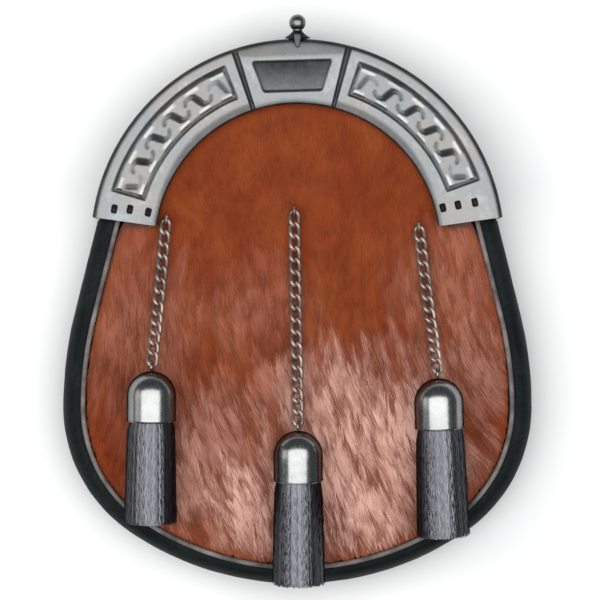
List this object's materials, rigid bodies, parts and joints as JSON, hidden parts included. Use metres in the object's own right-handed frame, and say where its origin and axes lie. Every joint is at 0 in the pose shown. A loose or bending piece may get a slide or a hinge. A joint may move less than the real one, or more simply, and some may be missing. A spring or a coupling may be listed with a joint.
{
  "type": "dress sporran pouch",
  "caption": "Hide-fronted leather pouch closed by a cast half-round cantle with a ball clasp, with capped hair tassels hanging on chains.",
  "frame": {"origin": "on the surface that the pouch lies on with its back down, under the middle of its whole length and width", "axes": "+Z out of the hide front, +Y from the tassels' ends towards the clasp, +X to the right as the front is seen upright"},
  "size_m": [0.18, 0.2186, 0.0542],
  "materials": {
    "black_leather": "grained black leather, satin",
    "russet_hide": "short-haired russet hide, hair lying down the front",
    "grey_thread": "grey-brown piping with stitches",
    "antique_silver": "cast antique silver, dark in the recesses",
    "dark_steel": "darkened steel, satin",
    "chrome": "polished, darkened with age",
    "black_hair": "straight black hair with a soft sheen"
  },
  "bodies": {
    "pouch": {"back_panel": "black_leather", "gusset": "black_leather", "strap_loop_left": "black_leather", "strap_loop_right": "black_leather", "front_panel": "russet_hide", "front_piping": "grey_thread", "cantle": "antique_silver", "rear_frame": "dark_steel", "hinge_pin_left": "dark_steel", "hinge_pin_right": "dark_steel", "clasp_bracket": "dark_steel", "chain_eye_left": "chrome", "chain_eye_centre": "chrome", "chain_eye_right": "chrome", "chain_left": "chrome", "chain_centre": "chrome", "chain_right": "chrome", "tassel_cap_left": "chrome", "tassel_cap_centre": "chrome", "tassel_cap_right": "chrome", "tassel_left": "black_hair", "tassel_centre": "black_hair", "tassel_right": "black_hair"},
    "clasp_lever": {"clasp_lever": "chrome"}
  },
  "joints": [
    {"name": "clasp_hinge", "type": "hinge", "parent": "pouch", "child": "clasp_lever", "pos_m": [0, 0.10153, 0.011], "axis": [-1, 0, 0], "range_deg": [0, 28], "stiffness_Nm_per_rad": 0.02, "springref_deg": -4.58}
  ]
}
